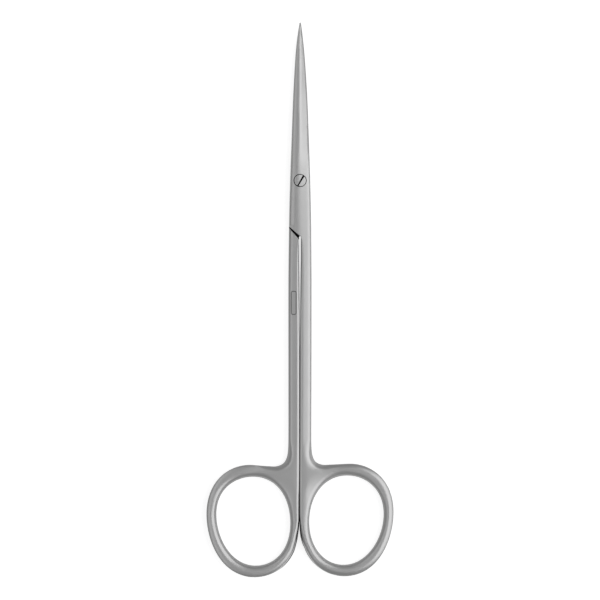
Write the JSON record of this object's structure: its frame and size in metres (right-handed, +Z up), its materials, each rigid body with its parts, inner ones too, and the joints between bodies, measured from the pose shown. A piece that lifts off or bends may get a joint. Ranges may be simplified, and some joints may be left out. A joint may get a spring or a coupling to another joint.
{
  "type": "dissecting scissors",
  "caption": "Straight slim surgical scissors with long shanks, oval finger rings, fine tapering blades and a slotted joint screw; they open and close about the screw.",
  "frame": {"origin": "the pivot axis where it meets the surface the closed scissors lie on, which is the flat underside of the joint", "axes": "+Y from the pivot to the points, +Z up out of the face with the screw head, +X to the right seen from above"},
  "size_m": [0.0542, 0.1601, 0.0036],
  "materials": {
    "forged_steel": "satin",
    "screw_steel": "satin"
  },
  "bodies": {
    "lower_body": {"lower_half": "forged_steel", "joint_screw": "screw_steel"},
    "upper_body": {"upper_half": "forged_steel"}
  },
  "joints": [
    {"name": "blade_pivot", "type": "hinge", "parent": "lower_body", "child": "upper_body", "pos_m": [0, 0, 0], "axis": [0, 0, 1], "range_deg": [0, 50]}
  ]
}
